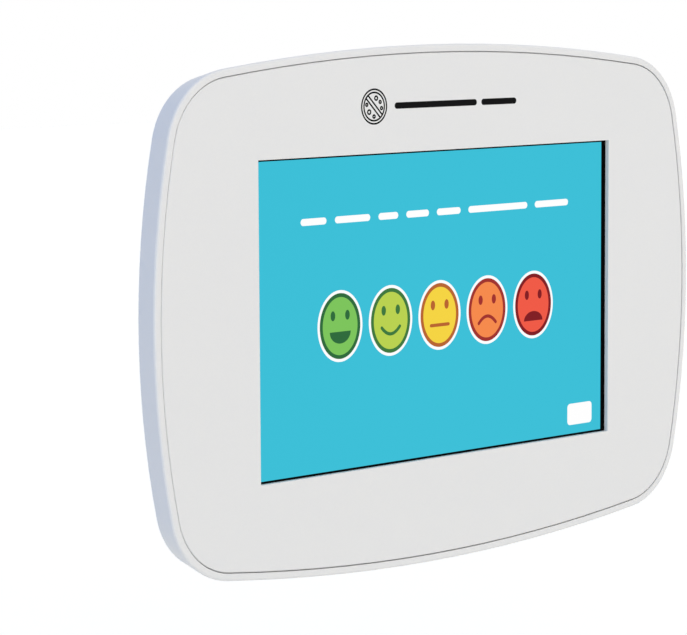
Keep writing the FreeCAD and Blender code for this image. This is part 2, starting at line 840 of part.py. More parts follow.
def make_lock_plug():
    body = new_body("lock_plug")
    stages = [(D.plug_head, plug_back, plug_shoulder), (D.plug_radius, plug_shoulder, cam_back)]
    for radius, low, high in stages:
        sketch = new_sketch(body, level=low)
        circle(sketch, radius, z=-lock_drop)
        extrude(body, sketch, high - low)
    drive = new_sketch(body, level=cam_back)
    rectangle(drive, D.cam_square, D.cam_square, z=-lock_drop)
    extrude(body, drive, D.cam_thickness - D.screw_end_gap)
    slot = new_sketch(body, level=plug_back)
    rectangle(slot, D.key_slot_width, D.key_slot_height, z=-lock_drop)
    extrude(body, slot, D.key_slot_depth, cut=True)
    bore = new_sketch(body, level=cam_front - D.screw_end_gap)
    circle(bore, D.cam_screw_radius + D.screw_end_gap, z=-lock_drop)
    extrude(body, bore, D.cam_screw_reach + 0.5, cut=True, toward_front=False)


def make_lock_cam():
    body = new_body("lock_cam")
    arm = new_sketch(body, level=cam_back)
    # a finger with a round tip that runs down from the hub
    half_width = D.cam_width / 2
    tip = -lock_drop - D.cam_reach + half_width
    first = len(arm.Geometry)
    left, right = -half_width.value, half_width.value
    top, low = -lock_drop.value, tip.value
    arm.addGeometry(Part.LineSegment(Vector(left, top, 0), Vector(left, low, 0)))
    arm.addGeometry(arc(0, low, half_width.value, math.pi, 2 * math.pi))
    arm.addGeometry(Part.LineSegment(Vector(right, low, 0), Vector(right, top, 0)))
    arm.addGeometry(Part.LineSegment(Vector(right, top, 0), Vector(left, top, 0)))
    arm.addConstraint(Sketcher.Constraint("Tangent", first, 2, first + 1, 1))
    arm.addConstraint(Sketcher.Constraint("Tangent", first + 1, 2, first + 2, 1))
    arm.addConstraint(Sketcher.Constraint("Coincident", first + 2, 2, first + 3, 1))
    arm.addConstraint(Sketcher.Constraint("Coincident", first + 3, 2, first, 1))
    place_point(arm, first, 1, -half_width, -lock_drop)
    constrain(arm, "DistanceY", -1, 1, first + 2, 2, size=-lock_drop)
    constrain(arm, "Radius", first + 1, size=half_width)
    place_point(arm, first + 1, 3, 0.0, tip)
    extrude(body, arm, D.cam_thickness)
    hub = new_sketch(body, level=cam_back)
    circle(hub, D.cam_hub, z=-lock_drop)
    extrude(body, hub, D.cam_thickness)
    hole = new_sketch(body, level=cam_back)
    rectangle(hole, D.cam_square + D.hole_gap, D.cam_square + D.hole_gap, z=-lock_drop)
    extrude(body, hole, D.cam_thickness, cut=True)


def make_cam_screw():
    head_front = cam_front + D.cam_screw_head_height
    tip = cam_front - D.cam_screw_reach
    profile = [(0.0, head_front), (D.cam_screw_head, head_front), (D.cam_screw_head, cam_front),
               (D.cam_screw_radius, cam_front), (D.cam_screw_radius, tip), (0.0, tip)]
    turned("cam_screw", profile, z=-lock_drop)


# Tray behind the tablet

def make_tablet_tray():
    body = new_body("tablet_tray")
    sheet_sketch = new_sketch(body, level=tray_back)
    rounded_rectangle(sheet_sketch, tray_width, tray_height, D.tray_corner, x=D.tablet_shift)
    rounded_rectangle(sheet_sketch, D.tray_window_width, D.tray_window_height, D.tray_corner,
                      x=D.tablet_shift)
    extrude(body, sheet_sketch, D.tray_sheet)
    flanges = new_sketch(body, level=tray_back)
    for side in (-1, 1):
        z = side * (tray_height - D.tray_sheet) / 2
        rectangle(flanges, tray_width - 2 * D.tray_flange_inset, D.tray_sheet, D.tablet_shift, z)
    extrude(body, flanges, D.tray_flange, toward_front=False)
    holes = new_sketch(body, level=tray_back)
    for x, z in tray_posts:
        circle(holes, D.screw_hole, x, z)
    extrude(body, holes, D.tray_sheet, cut=True)


def make_foam_pads():
    rise = (tray_height + D.tray_window_height) / 4
    pads = []
    for column in (-1, 0, 1):
        for side in (-1, 1):
            x = D.tablet_shift + column * D.foam_spread
            name = f"foam_pad_{len(pads) + 1}"
            pads.append(block(name, D.foam_width, D.foam_thickness, D.foam_height,
                              x, tray_front, side * rise))
    group("foam_pads", pads)


# Tablet: glass, display, backlight, frame, electronics, rear shell and keys

glass_back = seat - D.glass_thickness
display_back = glass_back - D.display_thickness
backlight_back = display_back - D.backlight_thickness
plate_back = backlight_back - D.frame_plate
shell_inside = tablet_back_level + D.shell_floor
board_back = plate_back - D.board_thickness
frame_width = D.tablet_width - 2 * (D.shell_wall + D.frame_fit)
frame_height = D.tablet_height - 2 * (D.shell_wall + D.frame_fit)
frame_corner = D.tablet_corner - D.shell_wall - D.frame_fit
wall_inside_x = frame_width / 2 - D.frame_wall
wall_inside_z = frame_height / 2 - D.frame_wall
key_low = (shell_inside + plate_back) / 2 - D.key_thickness / 2
camera_z = (D.display_height / 2 + frame_height / 2) / 2
board_screws = [(D.board_left + D.board_screw_inset, D.board_top - D.board_screw_inset),
                (D.board_right - D.board_screw_inset, D.board_low + D.board_screw_inset)]


def from_tablet(x):
    return as_size(x) + D.tablet_shift


def key_slots(body, wall_low, wall_high):
    """Slots for the two keys through a top wall, and for the port through the right one."""
    sketch = new_sketch(body, level=key_low - D.key_slot_gap)
    middle = (wall_low + wall_high) / 2
    keys = [(D.power_key_x, D.power_key_width, D.power_key_gap),
            (D.volume_key_x, D.volume_key_width, D.volume_key_gap)]
    for x, width, gap in keys:
        rectangle(sketch, width + 2 * gap, wall_high - wall_low, from_tablet(x), middle)
    extrude(body, sketch, D.key_thickness + 2 * D.key_slot_gap, cut=True)
    port = new_sketch(body, level=plate_back - D.port_thickness + D.port_sheet)
    side = (D.tablet_width - D.tablet_height) / 2
    rectangle(port, wall_high - wall_low, D.port_width - 2 * D.port_sheet,
              from_tablet(side + middle), D.port_z)
    extrude(body, port, D.port_thickness - 2 * D.port_sheet, cut=True)


def make_tablet_layers():
    glass = new_body("cover_glass")
    sketch = new_sketch(glass, level=glass_back)
    rounded_rectangle(sketch, D.tablet_width, D.tablet_height, D.tablet_corner, x=D.tablet_shift)
    extrude(glass, sketch, D.glass_thickness)
    keep(block("display_box", D.display_width, D.display_thickness, D.display_height,
               D.tablet_shift, display_back, 0.0), "display_panel")
    edge = 2 * D.backlight_edge
    keep(block("backlight_box", D.display_width + edge, D.backlight_thickness, D.display_height + edge,
               D.tablet_shift, backlight_back, 0.0), "backlight")


def make_tablet_frame():
    body = new_body("tablet_frame")
    sketch = new_sketch(body, level=shell_inside)
    rounded_rectangle(sketch, frame_width, frame_height, frame_corner, x=D.tablet_shift)
    extrude(body, sketch, glass_back - shell_inside)
    front_pocket = new_sketch(body, level=glass_back)
    edge = 2 * (D.backlight_edge + D.loose_gap)
    rectangle(front_pocket, D.display_width + edge, D.display_height + edge, D.tablet_shift)
    extrude(body, front_pocket, glass_back - backlight_back, cut=True, toward_front=False)
    rear_pocket = new_sketch(body, level=shell_inside)
    rounded_rectangle(rear_pocket, 2 * wall_inside_x, 2 * wall_inside_z, frame_corner - D.frame_wall,
                      x=D.tablet_shift)
    extrude(body, rear_pocket, plate_back - shell_inside, cut=True)
    holes = new_sketch(body, level=plate_back)
    for x, z in board_screws:
        circle(holes, D.board_screw_hole, from_tablet(x), z)
    rectangle(holes, D.flex_width + 1.0, 2.0, from_tablet(D.flex_x), D.flex_z)
    extrude(body, holes, D.frame_plate, cut=True)
    camera = new_sketch(body, level=glass_back)
    rectangle(camera, D.camera_width + D.loose_gap, D.camera_height + D.loose_gap,
              D.tablet_shift, camera_z)
    extrude(body, camera, D.camera_depth + D.hole_gap, cut=True, toward_front=False)
    key_slots(body, wall_inside_z - 0.5, frame_height / 2 + 0.5)


def make_tablet_back():
    body = new_body("tablet_back")
    sketch = new_sketch(body, level=tablet_back_level)
    rounded_rectangle(sketch, D.tablet_width, D.tablet_height, D.tablet_corner, x=D.tablet_shift)
    rim = glass_back - D.shell_drop
    extrude(body, sketch, rim - tablet_back_level)
    fillet(body, D.shell_edge, flat_edge_at(tablet_back_level), chamfer=True)
    hollow = new_sketch(body, level=rim)
    rounded_rectangle(hollow, D.tablet_width - 2 * D.shell_wall, D.tablet_height - 2 * D.shell_wall,
                      D.tablet_corner - D.shell_wall, x=D.tablet_shift)
    extrude(body, hollow, rim - shell_inside, cut=True, toward_front=False)
    key_slots(body, frame_height / 2 - 0.5, D.tablet_height / 2 + 1.0)


def make_electronics():
    board = new_body("main_board")
    sketch = new_sketch(board, level=board_back)
    corners = [(D.board_left, D.board_top), (D.board_left, D.board_low),
               (D.board_leg_left, D.board_low), (D.board_leg_left, D.board_leg_low),
               (D.board_right, D.board_leg_low), (D.board_right, D.board_top)]
    polygon(sketch, [(from_tablet(x), z) for x, z in corners])
    for x, z in board_screws:
        circle(sketch, D.board_screw_hole + 0.05, from_tablet(x), z)
    extrude(board, sketch, D.board_thickness)
    can_low = board_back - D.can_height
    cans = [(D.can_width, D.can_rise, D.can_x, D.can_z),
            (D.radio_can_width, D.radio_can_rise, D.radio_can_x, D.can_z),
            (D.port_can_width, D.port_can_rise, D.port_can_x, D.can_z)]
    group("shield_cans", [
        block(f"can_{number}", width, D.can_height, height, from_tablet(x), can_low, z)
        for number, (width, height, x, z) in enumerate(cans, start=1)])
    battery_low = plate_back - D.battery_thickness
    keep(block("battery_box", D.battery_width, D.battery_thickness, D.battery_height,
               from_tablet(D.battery_x), battery_low, D.battery_z), "battery_pack")
    group("speaker_boxes", [
        block(f"speaker_{number}", D.speaker_width, D.battery_thickness, D.speaker_height,
              from_tablet(x), battery_low, D.speaker_z)
        for number, x in enumerate((D.speaker_left, D.speaker_right), start=1)])
    antenna_places = [(D.antenna_left, D.antenna_left_z), (D.antenna_right, D.antenna_right_z)]
    group("antenna_strips", [
        block(f"antenna_{number}", D.antenna_width, D.antenna_thickness, D.antenna_height,
              from_tablet(x), shell_inside, z)
        for number, (x, z) in enumerate(antenna_places, start=1)])
    keep(block("camera_box", D.camera_width, D.camera_depth, D.camera_height, D.tablet_shift,
               glass_back - D.camera_depth, camera_z), "camera_module")
    # the ribbon comes through a slot in the plate and runs up to the board
    flex_low = plate_back - D.flex_thickness
    lie_height = D.board_low - D.flex_z + D.flex_thickness / 2
    x = from_tablet(D.flex_x)
    lie = block("flex_lie", D.flex_width, D.flex_thickness, lie_height, x, flex_low,
                D.board_low - lie_height / 2)
    rise = block("flex_rise", D.flex_width, D.frame_plate + D.flex_thickness, D.flex_thickness,
                 x, flex_low, D.flex_z)
    keep(unite("flex_whole", [lie, rise]), "display_flex")
    head_low = board_back - D.board_screw_head_height
    profile = screw_profile(D.board_screw_radius, D.board_screw_head, head_low, board_back,
                            backlight_back - D.screw_end_gap)
    make_repeated("board_screws", profile, [(from_tablet(x), z) for x, z in board_screws])


def make_usb_port():
    low = plate_back - D.port_thickness
    x = from_tablet(wall_inside_x - D.port_length / 2 - 0.1)
    shell = block("port_shell", D.port_length, D.port_thickness, D.port_width, x, low, D.port_z)
    sheet_both = 2 * D.port_sheet
    mouth = block("port_mouth", D.port_length - 1.0, D.port_thickness - sheet_both,
                  D.port_width - sheet_both, x + 0.5, low + D.port_sheet, D.port_z)
    tongue = block("port_tongue", D.port_length - 2.0, D.port_tongue, D.port_width - 2.4,
                   x - 0.5, low + (D.port_thickness - D.port_tongue) / 2, D.port_z)
    keep(unite("port_whole", [subtract("port_hollow", shell, mouth), tongue]), "usb_port")


def key_piece(label, x, width, flange_top):
    """A side key: a bar through the wall and a wider flange that keeps it in."""
    body = new_body(label)
    top = D.tablet_height / 2 + D.key_protrusion
    flange_low = flange_top - D.key_flange_thickness
    half, wide = width / 2, width / 2 + D.key_flange
    sketch = new_sketch(body, level=key_low)
    corners = [(-half, top), (-half, flange_top), (-wide, flange_top), (-wide, flange_low),
               (wide, flange_low), (wide, flange_top), (half, flange_top), (half, top)]
    polygon(sketch, [(from_tablet(x) + across, z) for across, z in corners])
    extrude(body, sketch, D.key_thickness)

    def along_the_top(edge):
        box = edge.BoundBox
        return box.ZMin > top.value - TOLERANCE and box.YLength < TOLERANCE

    fillet(body, D.key_round, along_the_top)


power_flange = wall_inside_z - D.hole_gap
volume_flange = wall_inside_z - D.volume_key_rest


def make_keys():
    key_piece("power_key", D.power_key_x, D.power_key_width, power_flange)
    key_piece("volume_key", D.volume_key_x, D.volume_key_width, volume_flange)
    # one switch under the power key, one under each end of the volume key
    low = board_back - D.switch_depth
    reach = D.volume_key_width / 2 - D.switch_reach_in
    power_top = power_flange - D.key_flange_thickness - D.power_key_travel - D.hole_gap
    volume_top = volume_flange - D.key_flange_thickness - D.volume_key_stroke
    spots = [(D.power_key_x, power_top), (D.volume_key_x - reach, volume_top),
             (D.volume_key_x + reach, volume_top)]
    switches = []
    for number, (x, top) in enumerate(spots, start=1):
        case_z = top - D.switch_stroke - D.switch_height / 2
        case = block(f"switch_case_{number}", D.switch_width, D.switch_depth, D.switch_height,
                     from_tablet(x), low, case_z)
        plunger_low = low + (D.switch_depth - D.plunger_depth) / 2
        plunger = block(f"switch_plunger_{number}", D.plunger_width, D.plunger_depth,
                        2 * D.switch_stroke, from_tablet(x), plunger_low, top - D.switch_stroke)
        switches.append(unite(f"switch_{number}", [case, plunger]))
    group("key_switches", switches)


make_front_panel()
make_panel_tape()
make_window_gasket()
make_front_housing()
make_rear_cover()
make_stand_inserts()
make_tray_screws()
make_cable_grommet()
make_lock_body()
make_lock_nut()
make_lock_plug()
make_lock_cam()
make_cam_screw()
make_tablet_tray()
make_foam_pads()
make_tablet_layers()
make_tablet_frame()
make_tablet_back()
make_electronics()
make_usb_port()
make_keys()
document.recompute()

# Check and export
for item in document.Objects:
    if "Invalid" in item.State or "Error" in item.State:
        raise RuntimeError(f"{item.Name} failed: {item.State}")
for node in nodes:
    if node.Shape.isNull() or not node.Shape.isValid() or not node.Shape.Solids:
        raise RuntimeError(f"{node.Label} has no valid solid")
os.makedirs("parts", exist_ok=True)
for node in nodes:
    node.Shape.exportStep(f"parts/{node.Label}.step")
print(f"{len(nodes)} sub-parts written")
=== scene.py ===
"""Looks of a touchscreen feedback terminal head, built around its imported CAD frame.

Objects are in metres in the row frame: +X right, +Z up, the screen faces -Y. The outlines'
and sub-assemblies' sizes are in millimetres, and the studio's are in metres. A "level" is a
distance in front of the back plane, so y = -level.
"""

import logging
import math
from dataclasses import dataclass
from enum import Enum

import bpy
from mathutils import Matrix, Vector

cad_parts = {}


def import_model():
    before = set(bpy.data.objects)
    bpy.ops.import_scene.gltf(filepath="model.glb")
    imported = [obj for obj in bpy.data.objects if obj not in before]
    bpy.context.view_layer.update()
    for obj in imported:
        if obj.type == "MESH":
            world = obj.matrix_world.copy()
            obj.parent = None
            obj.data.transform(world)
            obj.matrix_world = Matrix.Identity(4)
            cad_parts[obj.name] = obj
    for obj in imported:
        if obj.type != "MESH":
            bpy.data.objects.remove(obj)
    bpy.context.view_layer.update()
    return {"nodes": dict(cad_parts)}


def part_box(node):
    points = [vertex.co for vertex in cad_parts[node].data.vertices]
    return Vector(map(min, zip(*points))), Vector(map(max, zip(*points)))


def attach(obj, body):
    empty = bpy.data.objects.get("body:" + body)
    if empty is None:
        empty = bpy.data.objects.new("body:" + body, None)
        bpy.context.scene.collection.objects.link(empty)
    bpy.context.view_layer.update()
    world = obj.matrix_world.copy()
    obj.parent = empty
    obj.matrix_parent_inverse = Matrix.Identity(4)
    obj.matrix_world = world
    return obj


log = logging.getLogger("terminal")

MM = 0.001

# The sRGB curve: a short straight run near black, then a power
SRGB_KNEE = 0.04045
SRGB_SLOPE = 12.92
SRGB_LIFT = 0.055
SRGB_POWER = 2.4

Outline = list[tuple[float, float]]


def linear(code: str) -> tuple[float, float, float, float]:
    """Turn an sRGB hex colour into linear light.

    Args:
        code: six hex digits, with or without a leading #.

    Returns:
        Linear red, green and blue, and an alpha of 1.
    """
    digits = code.lstrip("#")
    channels = []
    for start in (0, 2, 4):
        value = int(digits[start:start + 2], 16) / 255
        if value <= SRGB_KNEE:
            channels.append(value / SRGB_SLOPE)
        else:
            channels.append(((value + SRGB_LIFT) / (1 + SRGB_LIFT)) ** SRGB_POWER)
    return channels[0], channels[1], channels[2], 1.0


def add(tree: bpy.types.NodeTree, kind: str, inputs: dict | None = None, **settings) -> bpy.types.Node:
    """Add a node, set its options, and fill or link its inputs.

    Args:
        tree: the node tree it goes into.
        kind: the node's type name.
        inputs: socket name or number to a value, or to the output socket that feeds it.
        settings: the node's own options.

    Returns:
        The new node.
    """
    node = tree.nodes.new(kind)
    for option, value in settings.items():
        setattr(node, option, value)
    for socket, value in (inputs or {}).items():
        if isinstance(value, bpy.types.NodeSocket):
            tree.links.new(value, node.inputs[socket])
        else:
            node.inputs[socket].default_value = value
    return node


def shade(code: str, factor: float) -> tuple[float, float, float, float]:
    """Scale a hex colour's linear light by a factor, up to white."""
    red, green, blue, alpha = linear(code)
    return min(red * factor, 1.0), min(green * factor, 1.0), min(blue * factor, 1.0), alpha


def blank(name: str) -> tuple[bpy.types.Material, bpy.types.NodeTree, bpy.types.NodeSocket]:
    """Start a material.

    Args:
        name: the material's name.

    Returns:
        The material, its empty node tree and the Object coordinates in it.
    """
    material = bpy.data.materials.new(name)
    material.use_nodes = True
    material.node_tree.nodes.clear()
    place = add(material.node_tree, "ShaderNodeTexCoord").outputs["Object"]
    return material, material.node_tree, place


def finish(tree: bpy.types.NodeTree, inputs: dict) -> None:
    """End a material with a principled shader that has the given inputs."""
    shader = add(tree, "ShaderNodeBsdfPrincipled", inputs)
    add(tree, "ShaderNodeOutputMaterial", {"Surface": shader.outputs[0]})


class Bench:
    """Where a primitive is added, shaped in edit mode and finished as a piece."""

    @staticmethod
    def clear() -> None:
        """Deselect every object."""
        bpy.ops.object.select_all(action="DESELECT")

    @staticmethod
    def named(name: str) -> bpy.types.Object:
        """Name the object that was just added.

        Args:
            name: the piece's name.

        Returns:
            The named object.
        """
        piece = bpy.context.object
        piece.name = name
        piece.data.name = name
        return piece

    @classmethod
    def plate(cls, name: str, outline: Outline, low: float, high: float) -> bpy.types.Object:
        """Raise a thin plate from an outline that faces the front.

        Args:
            name: the piece's name.
            outline: its corners as x and z in millimetres, in order.
            low: the level of its back, in millimetres.
            high: the level of its front, in millimetres.

        Returns:
            A closed plate, in place.
        """
        cls.clear()
        bpy.ops.mesh.primitive_circle_add(vertices=len(outline), radius=1.0, fill_type="NOTHING")
        piece = cls.named(name)
        for vertex, (x, z) in zip(piece.data.vertices, outline):
            vertex.co = (x * MM, -low * MM, z * MM)
        bpy.ops.object.mode_set(mode="EDIT")
        bpy.ops.mesh.select_all(action="SELECT")
        bpy.ops.mesh.edge_face_add()
        cls.thicken(high - low)
        return piece

    @classmethod
    def band(cls, name: str, outer: Outline, inner: Outline, low: float,
             high: float) -> bpy.types.Object:
        """Raise a thin band between two outlines that have as many corners.

        Args:
            name: the piece's name.
            outer: its outer corners as x and z in millimetres, in order.
            inner: the corners of its hole, in the same order.
            low: the level of its back, in millimetres.
            high: the level of its front, in millimetres.

        Returns:
            A closed band, in place.
        """
        cls.clear()
        bpy.ops.mesh.primitive_circle_add(vertices=len(outer), radius=1.0, fill_type="NOTHING")
        piece = cls.named(name)
        bpy.ops.object.mode_set(mode="EDIT")
        bpy.ops.mesh.primitive_circle_add(vertices=len(inner), radius=0.5, fill_type="NOTHING")
        bpy.ops.object.mode_set(mode="OBJECT")
        for vertex, (x, z) in zip(piece.data.vertices, outer + inner):
            vertex.co = (x * MM, -low * MM, z * MM)
        bpy.ops.object.mode_set(mode="EDIT")
        bpy.ops.mesh.select_all(action="SELECT")
        bpy.ops.mesh.bridge_edge_loops()
        cls.thicken(high - low)
        return piece

    @staticmethod
    def thicken(rise: float) -> None:
        """Extrude the flat faces in edit mode toward the front, by a rise in millimetres."""
        bpy.ops.mesh.select_all(action="SELECT")
        bpy.ops.mesh.extrude_region_move(TRANSFORM_OT_translate={"value": (0.0, -rise * MM, 0.0)})
        bpy.ops.mesh.select_all(action="SELECT")
        bpy.ops.mesh.normals_make_consistent(inside=False)
        bpy.ops.object.mode_set(mode="OBJECT")

    @staticmethod
    def dress(piece: bpy.types.Object, material: bpy.types.Material) -> None:
        """Give a piece one material in all its slots.

        Args:
            piece: a new piece or a CAD node.
            material: what it is made of.
        """
        if not piece.material_slots:
            piece.data.materials.append(material)
        for slot in piece.material_slots:
            slot.material = material


def middle(node: str) -> tuple[float, float]:
    """Find a CAD node's middle as x and z in millimetres."""
    low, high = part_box(node)
    return (low.x + high.x) / 2 / MM, (low.z + high.z) / 2 / MM


# Outlines in the screen's plane, in millimetres

def rounded_box(width: float, height: float, corner: float, x: float, z: float,
                steps: int = 8) -> Outline:
    """Outline a rectangle with round corners.

    Args:
        width: its size along x.
        height: its size along z.
        corner: the corners' radius.
        x: its centre along x.
        z: its centre along z.
        steps: straight runs in each corner.

    Returns:
        Its corners, counter-clockwise.
    """
    points = []
    for quarter, (side, rise) in enumerate(((1, 1), (-1, 1), (-1, -1), (1, -1))):
        centre_x = x + side * (width / 2 - corner)
        centre_z = z + rise * (height / 2 - corner)
        for step in range(steps + 1):
            turn = math.pi / 2 * (quarter + step / steps)
            points.append((centre_x + corner * math.cos(turn), centre_z + corner * math.sin(turn)))
    return points


def oval(width: float, height: float, x: float, z: float, steps: int = 72) -> Outline:
    """Outline an ellipse of the given width and height about x and z."""
    turns = [2 * math.pi * step / steps for step in range(steps)]
    return [(x + width / 2 * math.cos(turn), z + height / 2 * math.sin(turn)) for turn in turns]


def bow(span: float, sag: float, stroke: float, x: float, z: float, steps: int = 24) -> Outline:
    """Outline a round-ended stroke that hangs or rises between its ends.

    Args:
        span: the distance between its ends.
        sag: how far its middle hangs below them, or stands above when it is negative.
        stroke: its thickness.
        x: its middle along x.
        z: the height of its ends.
        steps: straight runs along it.

    Returns:
        Its corners, counter-clockwise.
    """
    half = stroke / 2
    line = []
    for step in range(steps + 1):
        along = 2 * step / steps - 1
        slope = math.atan(4 * sag * along / span)
        line.append((x + span / 2 * along, z - sag * (1 - along * along), slope))
    lower = [(px + half * math.sin(turn), pz - half * math.cos(turn)) for px, pz, turn in line]
    upper = [(px - half * math.sin(turn), pz + half * math.cos(turn)) for px, pz, turn in reversed(line)]
    right = round_end(line[-1], half, -math.pi / 2)
    left = round_end(line[0], half, math.pi / 2)
    return lower + right + upper + left


def round_end(end: tuple[float, float, float], half: float, start: float, steps: int = 8) -> Outline:
    """Outline the half circle that closes a stroke's end.

    Args:
        end: the end's x and z, and the stroke's direction there.
        half: half the stroke's thickness.
        start: where the half circle starts, from that direction.
        steps: straight runs in it.

    Returns:
        The corners between its two ends.
    """
    x, z, slope = end
    turns = [slope + start + math.pi * step / steps for step in range(1, steps)]
    return [(x + half * math.cos(turn), z + half * math.sin(turn)) for turn in turns]


def open_smile(width: float, depth: float, x: float, z: float, steps: int = 28) -> Outline:
    """Outline an open mouth: a flat top over a deep curve, or the other way up for a negative depth."""
    rim = []
    for step in range(steps + 1):
        turn = math.pi + math.pi * step / steps
        rim.append((x + width / 2 * math.cos(turn), z + depth * math.sin(turn)))
    return rim if depth > 0 else rim[::-1]


# Finishes: each is a real material and how its surface was made

@dataclass(frozen=True)
class MouldedPlastic:
    """Injection-moulded ABS or polycarbonate: satin, with a fine spark-eroded grain."""

    name: str
    colour: str
    roughness: float = 0.42
    grain_mm: float = 0.9
    grain_depth_mm: float = 0.012
    gloss_spread: float = 0.05
    flow_mm: float = 90.0
    drift: float = 0.012
    # how strong the painted shade in the grain's pits and the painted light on its high spots are
    painted_pit_shade: float = 0.006

    def build(self) -> bpy.types.Material:
        """Make the material.

        Returns:
            A principled plastic whose grain is drawn coarser than the real 0.2 mm, so that it shows.
        """
        material, tree, place = blank(self.name)
        # moulding flow leaves the tone drifting by a hair over a hand's breadth
        cloud = add(tree, "ShaderNodeTexNoise",
                    {"Vector": place, "Scale": 1 / (self.flow_mm * MM), "Detail": 2.0})
        low, high = shade(self.colour, 1 - self.drift), shade(self.colour, 1 + self.drift)
        tone = add(tree, "ShaderNodeMix", {0: cloud.outputs["Fac"], 6: low, 7: high}, data_type="RGBA")
        grain = add(tree, "ShaderNodeTexNoise",
                    {"Vector": place, "Scale": 1 / (self.grain_mm * MM), "Detail": 3.0,
                     "Roughness": 0.6})
        gloss = add(tree, "ShaderNodeMapRange",
                    {"Value": grain.outputs["Fac"], "To Min": self.roughness - self.gloss_spread,
                     "To Max": self.roughness + self.gloss_spread})
        # painted shade darkens the grain's pits and painted light lifts its high spots, which even light
        # would otherwise hide
        pit_shade_factor = add(tree, "ShaderNodeMapRange",
                   {"Value": grain.outputs["Fac"], "From Min": 0.35, "From Max": 0.65,
                    "To Min": 1 - self.painted_pit_shade, "To Max": 1 + self.painted_pit_shade})
        pit_shaded_tone = add(tree, "ShaderNodeVectorMath", {0: tone.outputs[2], "Scale": pit_shade_factor.outputs[0]},
                     operation="SCALE")
        relief = add(tree, "ShaderNodeBump",
                     {"Height": grain.outputs["Fac"], "Strength": 0.5,
                      "Distance": self.grain_depth_mm * MM})
        finish(tree, {"Base Color": pit_shaded_tone.outputs[0], "Roughness": gloss.outputs[0],
                      "Normal": relief.outputs[0], "IOR": 1.53})
        return material


@dataclass(frozen=True)
class PrintedInk:
    """Screen-printed matt ink: near black with almost no sheen, and a film that isn't quite even."""

    name: str
    colour: str = "#0B0B0C"
    roughness: float = 0.7
    unevenness: float = 0.15
    film_mm: float = 0.7

    def build(self) -> bpy.types.Material:
        """Make the material.

        Returns:
            A dark surface whose tone and roughness follow the mesh marks of the print, drawn coarser.
        """
        material, tree, place = blank(self.name)
        film = add(tree, "ShaderNodeTexNoise",
                   {"Vector": place, "Scale": 1 / (self.film_mm * MM), "Detail": 3.0})
        tone = add(tree, "ShaderNodeMix",
                   {0: film.outputs["Fac"], 6: shade(self.colour, 0.6), 7: shade(self.colour, 1.4)},
                   data_type="RGBA")
        gloss = add(tree, "ShaderNodeMapRange",
                    {"Value": film.outputs["Fac"], "To Min": self.roughness,
                     "To Max": self.roughness + self.unevenness})
        finish(tree, {"Base Color": tone.outputs[2], "Roughness": gloss.outputs[0],
                      "Specular IOR Level": 0.08})
        return material


@dataclass(frozen=True)
class CoatedGlass:
    """Tablet glass, printed black behind and coated against glare: deep black, with a dull sheen."""

    name: str
    colour: str = "#030303"
    roughness: float = 0.16
    smear_gloss: float = 0.12
    smear_mm: float = 22.0

    def build(self) -> bpy.types.Material:
        """Make the material.

        Returns:
            A near-black glossy surface with a low reflection and faint smears from fingers.
        """
        material, tree, place = blank(self.name)
        smear = add(tree, "ShaderNodeTexNoise",
                    {"Vector": place, "Scale": 1 / (self.smear_mm * MM), "Detail": 4.0,
                     "Distortion": 0.8})
        gloss = add(tree, "ShaderNodeMapRange",
                    {"Value": smear.outputs["Fac"], "To Min": self.roughness,
                     "To Max": self.roughness + self.smear_gloss})
        finish(tree, {"Base Color": linear(self.colour), "Roughness": gloss.outputs[0],
                      "Specular IOR Level": 0.02})
        return material


@dataclass(frozen=True)
class LitPicture:
    """A colour on a back-lit screen: it glows evenly and dims by a hair toward the corners."""

    name: str
    colour: str
    strength: float = 1.0
    dimming: float = 0.012
    reach_mm: float = 128.0

    def build(self) -> bpy.types.Material:
        """Make the material.

        Returns:
            An emitting surface under the same low sheen as the glass.
        """
        material, tree, place = blank(self.name)
        away = add(tree, "ShaderNodeVectorMath", {0: place, 1: (1.0, 0.0, 1.0)}, operation="MULTIPLY")
        away = add(tree, "ShaderNodeVectorMath", {0: away.outputs[0]}, operation="LENGTH")
        fall = add(tree, "ShaderNodeMapRange",
                   {"Value": away.outputs["Value"], "From Max": self.reach_mm * MM, "To Min": 0.0,
                    "To Max": 1.0})
        glow = add(tree, "ShaderNodeMix",
                   {0: fall.outputs[0], 6: linear(self.colour), 7: shade(self.colour, 1 - self.dimming)},
                   data_type="RGBA")
        finish(tree, {"Base Color": linear("#000000"), "Roughness": 0.2, "Specular IOR Level": 0.02,
                      "Emission Color": glow.outputs[2], "Emission Strength": self.strength})
        return material


class Cut(Enum):
    """Which way a metal surface was worked, as the stretch of its scratches along x, y and z."""

    ROLLED = (0.04, 1.0, 1.0)
    TURNED = (1.0, 0.05, 1.0)
    CAST = (1.0, 1.0, 1.0)


@dataclass(frozen=True)
class WorkedMetal:
    """Bare or plated metal with the fine lines that its rolling, turning or casting left."""

    name: str
    colour: str
    cut: Cut = Cut.ROLLED
    roughness: float = 0.32
    line_mm: float = 0.35

    def build(self) -> bpy.types.Material:
        """Make the material.

        Returns:
            A metal whose roughness and relief follow lines drawn two or three times the real width.
        """
        material, tree, place = blank(self.name)
        run = add(tree, "ShaderNodeMapping", {"Vector": place, "Scale": self.cut.value})
        lines = add(tree, "ShaderNodeTexNoise",
                    {"Vector": run.outputs[0], "Scale": 1 / (self.line_mm * MM), "Detail": 4.0})
        gloss = add(tree, "ShaderNodeMapRange",
                    {"Value": lines.outputs["Fac"], "To Min": self.roughness - 0.08,
                     "To Max": self.roughness + 0.1})
        tone = add(tree, "ShaderNodeMix",
                   {0: lines.outputs["Fac"], 6: shade(self.colour, 0.92), 7: shade(self.colour, 1.05)},
                   data_type="RGBA")
        relief = add(tree, "ShaderNodeBump",
                     {"Height": lines.outputs["Fac"], "Strength": 0.25, "Distance": 0.01 * MM})
        finish(tree, {"Base Color": tone.outputs[2], "Metallic": 1.0, "Roughness": gloss.outputs[0],
                      "Normal": relief.outputs[0]})
        return material


